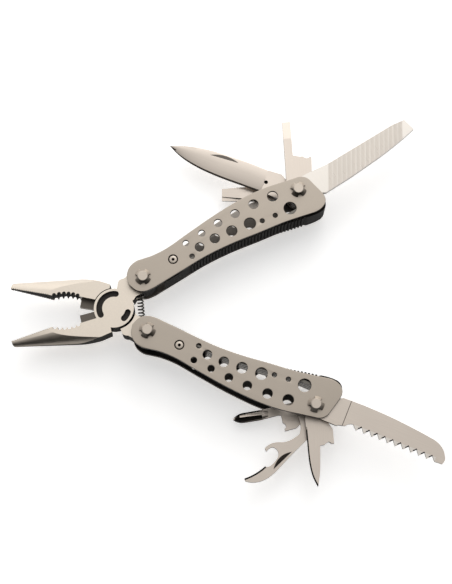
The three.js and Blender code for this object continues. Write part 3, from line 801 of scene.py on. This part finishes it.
def make_leaf_spring(side):
    """One block held by the two small screws, with a finger under each tool."""
    def under(distance, out):
        return along(INNER_EDGE, distance, -2.6 - out)

    first = under(12, 0)
    path = Outline(*first).line(*[under(12 + 2.1 * i, 0) for i in range(1, 31)])
    path.quad(82, -9.2, 90, -8).quad(90.8, -7.2, 89.6, -6.9)
    path.quad(83, -8.0, *under(72, 1.1))
    path.line(*[under(72 - 2.4 * i, 1.1) for i in range(1, 21)])
    path.quad(21.5, -3, 21, 0.6).quad(20.5, 2.3, 18.6, 2.4).line((15.4, 2.4))
    path.quad(13.6, 2.3, 13.4, 0.6).quad(13.2, -2.6, first[0], first[1] + 0.9)
    body = prism(f"{side}_spring_fingers", path.points[:-1], -6.9, 6.9)
    cut(body, *[box("slot", 27, 95, -20, 10, z - 0.55, z + 0.55) for z in (-3.7, 0, 3.7)],
        cylinder("upper screw hole", *SCREW_AT, 1.1, 2.4, 8),
        cylinder("lower screw hole", *SCREW_AT, 1.1, -8, -2.4))
    soften(body, 0.12, angle=50)
    paint(body, SPRING)
    place(body, HANDLES[side][0], f"{side}_handle", "spring_steel", f"{side}_leaf_spring")


def make_washers(side):
    """Bearing washers beside the jaw's eye, and spacers between the four tools."""
    matrix, spacing = HANDLES[side]
    sign = -1 if side == "lower" else 1
    rings = []
    for face, z in (("front", 6), ("back", -6)):
        rings.append((f"{face}_jaw_washer", 0, sign * z, JAW_SHANK + 0.15, 5.4, 0.9))
    for n, z in ((1, 3.7), (2, 0), (3, -3.7)):
        rings.append((f"tool_washer_{n}", spacing, sign * z, TOOL_SHANK + 0.15, 4.6, 0.4))
    for node, x, z, inner, outer, half in rings:
        body = filled(f"{side}_{node}_ring", ring(0, 0, outer, 64), [ring(0, 0, inner)],
                      -half, half, 0.08)
        paint(body, BRIGHT)
        place(body, matrix @ Matrix.Translation(Vector((x, 0, z)) * MM),
              f"{side}_handle", "bright_steel", f"{side}_{node}")


def notched(turned):
    """How far out a head's flank reaches, with four notches in it."""
    centre, radius = 3.75, 1.05

    def radius_at(angle, r, z):
        if z < SCALE_OUT:
            return r
        offset = (angle - turned + math.pi / 4) % (math.pi / 2) - math.pi / 4
        across = centre * math.sin(offset)
        if abs(across) >= radius:
            return r
        return min(r, centre * math.cos(offset) - math.sqrt(radius ** 2 - across ** 2))

    return radius_at


def head_profile():
    """From the head's rim on the scale to the middle of its flat top."""
    top = SCALE_OUT + HEAD_HEIGHT
    rows = [(HEAD_BASE, SCALE_OUT + 0.02), (HEAD_BASE, SCALE_OUT + 0.3)]
    rows += [(HEAD_BASE - 0.12 - 1.43 * k / 6, SCALE_OUT + 0.42 + 1.6 * k / 6)
             for k in range(7)]
    rows += [(HEAD_TOP, top - 0.06), (HEAD_TOP - 0.08, top), (HEAD_TOP - 0.2, top),
             (0, top)]
    return rows


def make_bolt(side, where, shank, turned):
    matrix, spacing = HANDLES[side]
    matrix = matrix @ Matrix.Translation((spacing * MM if where == "tool" else 0, 0, 0))
    upright = turn(math.pi, "X") if side == "lower" else Matrix.Identity(4)
    end = -SCALE_OUT - 1
    bolt = lathe(f"{side}_{where}_bolt_head",
                 [(0, end), (shank - 0.3, end), (shank, end + 0.3),
                  (shank, SCALE_OUT), (HEAD_BASE - 0.06, SCALE_OUT), *head_profile()],
                 144, notched(math.radians(turned)))
    nut = lathe(f"{side}_{where}_nut_head",
                [(0, SCALE_OUT + 1.2), (shank + 0.15, SCALE_OUT + 1.2),
                 (shank + 0.15, SCALE_OUT), (HEAD_BASE - 0.06, SCALE_OUT),
                 *head_profile()], 144, notched(math.radians(30)))
    for body, node, pose in ((bolt, "bolt", upright),
                             (nut, "nut", upright @ turn(math.pi, "X"))):
        paint(body, BRIGHT)
        place(body, matrix @ pose, f"{side}_handle", "bright_steel",
              f"{side}_{where}_{node}", crease=25)


def make_screw(side, face):
    """The small hex-socket screw in its counterbore."""
    top = SCALE_OUT - 0.15
    body = lathe(f"{side}_{face}_socket_screw",
                 [(0, 3), (0.95, 3), (0.95, SCALE_OUT - 0.85), (2, SCALE_OUT - 0.85),
                  (2, top - 0.35), (1.9, top - 0.12), (1.7, top), (0, top)], 48)
    cut(body, cylinder("socket", 0, 0, 0.85, top - 0.8, top + 1, 6))
    # the hex socket's inside is painted dark as shade
    paint(body, BRIGHT, [(BLACKENED_AND_SHADE, lambda c, n: c.z < top - 0.05 and c.xy.length < 0.86
                          and c.z > 4)])
    over = (face == "back") != (side == "lower")
    pose = Matrix.Translation(Vector((*SCREW_AT, 0)) * MM)
    if over:
        pose = pose @ turn(math.pi, "X")
    place(body, HANDLES[side][0] @ pose, f"{side}_handle", "bright_steel",
          f"{side}_{face}_screw")


# ---- Tools ----

def tang(name, outline, thick):
    body = prism(name, outline, -thick / 2, thick / 2)
    return join(body, cylinder("boss", 0, 0, BOSS, -TOOL_THICK / 2, TOOL_THICK / 2, 64))


def drill(body):
    return cut(body, cylinder("hole", 0, 0, TOOL_SHANK + 0.15, -5, 5))


def knife():
    """A blade whose faces fall from a grind line to a keen edge, with a nail nick."""
    back = spline([(17.5, -7.4), (24, -7.8), (32, -8.1), (45, -8), (54, -7.2), (62, -5.6),
                   (69, -3.4)], 10)
    edge = spline([(17.5, 4.4), (28, 4.2), (40, 3.9), (50, 3), (58, 1.4), (64, -0.7),
                   (69, -3.38)], 10)
    stations = 60
    shares = (0, 0.02, 0.2, 0.42, 0.7, 0.93, 1)
    verts, faces = [], []
    for i in range(stations + 1):
        t = i / stations
        k = t * (len(back) - 1)
        n = min(int(k), len(back) - 2)
        b = Vector(back[n]).lerp(Vector(back[n + 1]), k - n)
        e = Vector(edge[n]).lerp(Vector(edge[n + 1]), k - n)
        thin = 1.2 * (1 - 0.75 * t ** 6)
        depths = (thin - 0.12, thin, thin, thin, thin * 0.66, thin * 0.36, 0.05)
        row = [(*b.lerp(e, s), d) for s, d in zip(shares, depths)]
        row += [(x, y, -z) for x, y, z in reversed(row)]
        verts.extend(row)
    count = 2 * len(shares)
    for i in range(stations):
        for k in range(count):
            m = (k + 1) % count
            faces.append([i * count + k, i * count + m,
                          (i + 1) * count + m, (i + 1) * count + k])
    faces.append(list(range(count)))
    faces.append([stations * count + k for k in range(count)][::-1])
    blade = from_faces("blade", verts, faces)
    root = (Outline(2, 5.2).line((13, 4.6), (17.9, 4.4), (17.9, -7.4), (11, -7.6), (5, -4)))
    body = join(tang("knife_blade", root, 2.4), blade)
    chord = ((48.3, -5.7), (33.3, -6.4))
    cut(body, nail_nick(*chord, 1.5, 1.2), cylinder("plunge", 17, -1.2, 0.95, 0.5, 3, 24))
    drill(body)

    # the nail nick and the plunge are painted dark as shade
    def in_nick_shade(centre, normal):
        in_plunge = (centre.xy - Vector((17, -1.2))).length < 1
        in_crescent = 33 < centre.x < 48.6 and -6.6 < centre.y < -3.9
        return 0.3 < centre.z < 1.18 and (in_crescent or in_plunge)

    # the edge bevel is painted dark as shade
    def on_edge_shade(centre, normal):
        return (centre.x > 18 and centre.y > height_at(edge, centre.x) - 0.75
                and abs(centre.z) < 0.4)

    return paint(body, SATIN, [(BLACKENED_AND_SHADE, in_nick_shade), (SHADE_MARK, on_edge_shade)])


def driver(name, length, root):
    """A flat screwdriver that is thinned toward its squared end."""
    body = tang(name, root, TOOL_THICK)
    for side in (-1, 1):
        wedge = [(length - 9, 1.3), (length + 1, 0.5), (length + 1, 3), (length - 9, 3)]
        cutter = prism("tip grind", [(x, -side * z) for x, z in wedge], -15, 15)
        cutter.data.transform(turn(math.pi / 2, "X"))
        cut(body, cutter)
    return body


def small_driver():
    root = (Outline(2, 5.2).line((37.8, 5.2), (37.8, 1.15), (19.8, 1.15), (18.9, -2.3),
                                 (19, -3.8))
            .quad(16.9, -5.8, 18.8, -7.3).line((18.2, -8.1), (11.5, -7.8), (5, -4)))
    body = soften(driver("small_flat_driver", 37.8, root), 0.12)
    return paint(drill(body), SATIN)


def large_driver():
    root = Outline(2, 1.25).line((37.7, 1.25), (37.7, -4.95), (16, -6.2), (10.5, -6.6),
                                 (5, -4))
    body = driver("large_flat_driver", 37.7, root)
    # a step along one edge of the front face
    cut(body, prism("step", [(19.5, 1.2), (39, -1), (39, 3), (19.5, 3)], 0.1, 3))
    soften(body, 0.1)
    drill(body)

    # the step's wall is painted dark as shade
    def on_step_wall_shade(centre, normal):
        return 0.12 < centre.z < 1.25 and centre.x > 19 and normal.y > 0.6

    return paint(body, SATIN, [(BLACKENED_AND_SHADE, on_step_wall_shade)])


def file_tool():
    path = (Outline(2, 5.4).line((10, 5)).quad(14, 4.4, 20, 3.8)
            .line((58.3, 3.7), (65, 2.8), (66.4, -3.8))
            .spline((57.4, -5.4), (46.5, -6.7), (36, -7.4), (25.8, -8))
            .line((11, -8.2), (5, -4.4)))
    body = soften(tang("file_blade", path, TOOL_THICK), 0.15)
    # slanted teeth: each falls from its crest to the foot of the next
    pitch, skew, deep = 2.78, math.radians(-33), 0.22
    for i in range(16):
        for side in (-1, 1):
            tooth = [(0.1, 0), (1.7, -deep), (2.2, -deep), (2.15, 1), (0.1, 1)]
            row = prism("row", [(x, side * z) for x, z in tooth], -15, 15)
            row.data.transform(
                Matrix.Translation(Vector((17.7 + pitch * i, 0, side * 1.3)) * MM)
                @ turn(skew) @ turn(math.pi / 2, "X"))
            cut(body, row)
    drill(body)

    def in_row(centre, normal):
        return 1.05 < abs(centre.z) < 1.28 and 14 < centre.x < 64

    return paint(body, POLISHED, [(GROUND, in_row)])


def saw():
    """A blade with a shallow ground step and large triangular teeth with ground backs."""
    teeth = [(21.9 + 3.95 * i, 4.1) for i in range(10)]
    path = Outline(14.6, 4.5).line((16.5, 4.1)).quad(17.6, 2.2, 19.8, 1.9)
    for x, y in teeth:
        path.line((x, y), (x + 2.2, y - 2.2))
    path.line((61.4, 4), (65.2, 3.8)).quad(66.4, 1.5, 65, -0.4).quad(63, -4.6, 57.6, -5.6)
    path.spline((49.2, -6.7), (40, -7.6), (32.5, -8.1), (22, -8.4)).line((14.6, -8.25))
    blade = prism("blade", path, -0.85, 0.85)
    cut(blade, *[grind([(x + 0.9, y - 0.9), (x + 2.3, y - 2.3)], z, 0.55, 1)
                 for x, y in teeth for z in (0.85, -0.85)])
    root = (Outline(2, 5.4).line((12.7, 5.5), (13.3, 4.9), (15, 4.5), (15, -8.25),
                                 (11, -8.1), (5, -4.4)))
    body = soften(tang("saw_blade", root, 2.2), 0.12)
    join(body, blade)
    drill(body)

    # bright ground faces on the teeth, painted shade on the teeth's flanks, and the shadow
    # line of the step
    cut(body, *[box("facet", 20.5, 61.4, 1.8, 6, *sorted((z, z * 0.8))) for z in (1, -1)])
    cut(body, *[box("line", 14.9, 15.3, -9, 6, *sorted((z, z * 0.82))) for z in (1, -1)])

    # the teeth's flank walls are painted dark as shade
    def on_tooth_shade(centre, normal):
        return (21 < centre.x < 61 and centre.y > 1.3 and abs(normal.z) < 0.95
                and normal.x > 0.1)

    def on_facet(centre, normal):
        return abs(normal.z) > 0.95 and 20.4 < centre.x < 61.5 and centre.y > 1.75

    def in_line(centre, normal):
        return 14.85 < centre.x < 15.32 and 0.6 < abs(centre.z) < 0.88

    return paint(body, SATIN, [(POLISHED, on_facet), (BLACKENED_AND_SHADE, on_tooth_shade), (SHADE_MARK, in_line)])


def awl():
    """A stout pointed blade, ground to an edge along its curved side."""
    edge = spline([(10, 4.6), (16, 4.1), (26, 3.2), (33, 1.7), (38.2, -0.8)], 10)
    path = Outline(2, 5.2).line(*edge)
    path.quad(33, -1.9, 28, -2).line((18.8, -2.1), (18.4, -4.2))
    path.quad(16, -6.2, 17.8, -7.4).line((17.8, -8.7), (11, -8.2), (5, -4))
    body = tang("awl_blade", path, TOOL_THICK)
    cut(body, grind(edge, 1.3, 0.55), grind(edge, -1.3, 0.55))
    drill(body)

    # the ground edge's faces are painted dark as shade
    def on_edge_shade(centre, normal):
        return centre.x > 11 and abs(normal.z) < 0.95 and normal.y > 0.1

    return paint(body, SATIN, [(BLACKENED_AND_SHADE, on_edge_shade)])


def opener():
    """Can and bottle opener: a hooked blade with a bevelled cutting edge."""
    path = (Outline(2, 5.2).line((8, 4.4)).quad(11, -1.5, 15, -1.9)
            .quad(20.5, -0.8, 23, 2.2).quad(26, 6.8, 30.3, 6.9).line((31.1, 5.4))
            .quad(27.4, 5.4, 27.2, 3).quad(27.2, -0.4, 31, -0.7).quad(36.8, -1, 37, 1.6))
    first_cut = len(path.points) - 1
    path.quad(42.6, 2.6, 47.6, 5.8)
    last_cut = len(path.points) - 1
    path.line((48.4, 4.6)).quad(45.5, -3.2, 34.2, -4.2)
    path.line((24.3, -5.1), (12, -6.8), (5, -4))
    body = tang("opener_blade", path, 2.2)
    # the cutting edge is ground back on its front face
    soften(body, 0.1)
    cut(body, grind(path.points[first_cut:last_cut + 1], -1.1, 0.9))
    cut(body, nail_nick((23.6, -4.1), (35.7, -2.3), 1.9, -1.1))
    drill(body)

    # the nick, the edge bevel and the hook's walls are painted dark as shade
    def in_nick_shade(centre, normal):
        return -1.06 < centre.z < -0.3 and 23 < centre.x < 36.2 and -4.6 < centre.y < -0.9

    def on_bevel_shade(centre, normal):
        return centre.x > 36.9 and centre.z < -0.1 and -0.9 < normal.z < -0.3

    def at_hook_shade(centre, normal):
        return centre.x > 30.2 and centre.y > 5.2 and abs(normal.z) < 0.9

    return paint(body, SATIN, [(SHADE_MARK, in_nick_shade), (BLACKENED_AND_SHADE, on_bevel_shade), (BLACKENED_AND_SHADE, at_hook_shade)])


def phillips():
    """Cross-head driver: a flattened round bar with four flutes, on a flat tang."""
    centre, lift, flatten, length = 1.2, -0.45, 1.35, 14
    root = (Outline(2, 5.2).line((12, 4.5), (26, 3.6), (26, -1), (17.6, -0.3),
                                 (16.3, -0.6), (16.2, -4.2))
            .quad(13.8, -6, 15.8, -7.2).line((15.8, -8.4), (10, -7.8), (5, -4)))
    body = soften(tang("cross_driver", root, TOOL_THICK), 0.15)
    bar = lathe("bar", [(0, 22.5), (1.3, 22.5), (1.85, 26), (1.85, 34.5), (1.7, 36.2),
                        (1.3, 37.5), (0.85, 38.6), (0.3, 39.4), (0, 39.4)], 64)
    bar.data.transform(turn(math.pi / 2, "Y"))
    for i in range(4):
        flute = box("flute", -length / 2, length / 2, 0, 3, 0, 3)
        flute.data.transform(
            turn(math.radians(65 + 90 * i), "X")
            @ Matrix.Translation(Vector((39.5 - length / 2, 0.75, 0)) * MM)
            @ turn(math.radians(-2.5)) @ turn(-math.pi / 4, "X"))
        cut(bar, flute)
    bar.data.transform(Matrix.Translation(Vector((0, centre, lift)) * MM)
                       @ Matrix.Diagonal((1, flatten, 1, 1)))
    join(body, bar)
    drill(body)

    # the flutes are painted dark as shade
    def in_flute_shade(centre_point, normal):
        y = (centre_point.y - centre) / flatten
        z = centre_point.z - lift
        return centre_point.x > 25.6 and math.hypot(y, z) < 1.6 and abs(normal.x) < 0.4

    return paint(body, SATIN, [(BLACKENED_AND_SHADE, in_flute_shade)])


def make_tools():
    """Each tool's angle is 180 when folded and about 0 when fully open."""
    for side, shapes in (
            ("upper", (("file", file_tool, 2, "ground_steel"),
                       ("small_driver", small_driver, 63, "satin_steel"),
                       ("knife", knife, 130, "satin_steel"),
                       ("large_driver", large_driver, 150, "satin_steel"))),
            ("lower", (("saw", saw, -2, "satin_steel"), ("awl", awl, 66, "satin_steel"),
                       ("opener", opener, 104, "satin_steel"),
                       ("phillips_driver", phillips, 146.5, "satin_steel")))):
        matrix, spacing = HANDLES[side]
        for layer, (node, build, angle, finish) in enumerate(shapes):
            depth = (1.5 - layer) * 3.7 * (-1 if side == "lower" else 1)
            pose = (Matrix.Translation(Vector((spacing, 0, depth)) * MM)
                    @ turn(math.radians(angle)))
            place(build(), matrix @ pose, node, finish, node)


# ---- Scene ----

def make_floor():
    lowest = cad_bounds[0][2]
    mesh = bpy.data.meshes.new("floor")
    reach = 20.0
    mesh.from_pydata([(-reach, -reach, 0), (reach, -reach, 0), (reach, reach, 0),
                      (-reach, reach, 0)], [], [(0, 1, 2, 3)])
    floor = new_object("floor", mesh)
    gap = 0.0002
    floor.location.z = lowest - gap
    material, tree, shader = nodes_of("pale floor")
    shader.inputs["Roughness"].default_value = 0.9
    shader.inputs["Specular IOR Level"].default_value = 0.1
    shader.inputs["Emission Color"].default_value = (1, 1, 1, 1)
    shader.inputs["Emission Strength"].default_value = 0.45
    grain = noise(tree, 40, 2)
    tree.links.new(ramp(tree, grain, [(0.3, (0.93, 0.93, 0.93)), (0.7, (0.96, 0.96, 0.96))]),
                   shader.inputs["Base Color"])
    mesh.materials.append(material)


def make_light(name, location, target, size, power):
    data = bpy.data.lights.new(name, "AREA")
    data.shape = "SQUARE"
    data.size = size
    data.energy = power
    light = new_object(name, data)
    light.location = location
    light.rotation_euler = (Vector(target) - light.location).to_track_quat(
        "-Z", "Y").to_euler()


def make_camera():
    """Looks down on the tool from the side of the lower handle."""
    distance, tilt, roll = 0.65, math.radians(14), math.radians(-5.41)
    sight = Vector((0, -math.sin(tilt), math.cos(tilt)))
    sight.rotate(Matrix.Rotation(roll, 3, "Z"))
    aim = JAW_PIVOT + Vector((54.75, 1.97, SCALE_OUT)) * MM
    data = bpy.data.cameras.new("camera")
    data.sensor_width = 36
    data.lens = data.sensor_width / (2 * math.tan(math.radians(24.49) / 2))
    data.clip_start = 0.01
    camera = new_object("camera", data)
    up = Vector((0, math.cos(tilt), math.sin(tilt)))
    up.rotate(Matrix.Rotation(roll, 3, "Z"))
    side = up.cross(sight)
    basis = Matrix((side, up, sight)).transposed().to_4x4()
    camera.matrix_world = Matrix.Translation(aim + sight * distance) @ basis
    bpy.context.scene.camera = camera


def make_world():
    """A bright overhead sky that falls off toward the viewer's side."""
    world = bpy.data.worlds.new("studio")
    world.use_nodes = True
    tree = world.node_tree
    direction = tree.nodes.new("ShaderNodeTexCoord")
    along_axis = tree.nodes.new("ShaderNodeVectorMath")
    along_axis.operation = "DOT_PRODUCT"
    along_axis.inputs[1].default_value = (0.1, 0.85, 0.5)
    tree.links.new(direction.outputs["Generated"], along_axis.inputs[0])
    share = tree.nodes.new("ShaderNodeMapRange")
    share.inputs["From Min"].default_value = -0.18
    share.inputs["From Max"].default_value = 1.0
    share.inputs["To Min"].default_value = 0.0
    share.inputs["To Max"].default_value = 1.34
    tree.links.new(along_axis.outputs["Value"], share.inputs["Value"])
    background = tree.nodes["Background"]
    background.inputs["Color"].default_value = (1, 0.99, 0.975, 1)
    tree.links.new(share.outputs["Result"], background.inputs["Strength"])
    bpy.context.scene.world = world


make_camera()
make_world()
make_floor()
make_light("key", (0.25, 0.85, 0.6), (0.02, 0.03, 0), 0.5, 2.0)
make_light("card", (0.1, 0.42, 0.75), (0.02, 0.05, 0), 0.4, 0.24)
bpy.context.scene.view_settings.view_transform = "Standard"

make_jaws()
make_return_spring()
for side in ("upper", "lower"):
    for face in ("front", "back"):
        make_scale(side, face)
        make_screw(side, face)
    make_spine(side)
    make_leaf_spring(side)
    make_washers(side)
    make_bolt(side, "jaw", JAW_SHANK, 45 if side == "lower" else 63)
    make_bolt(side, "tool", TOOL_SHANK, 50 if side == "lower" else -17)
make_tools()
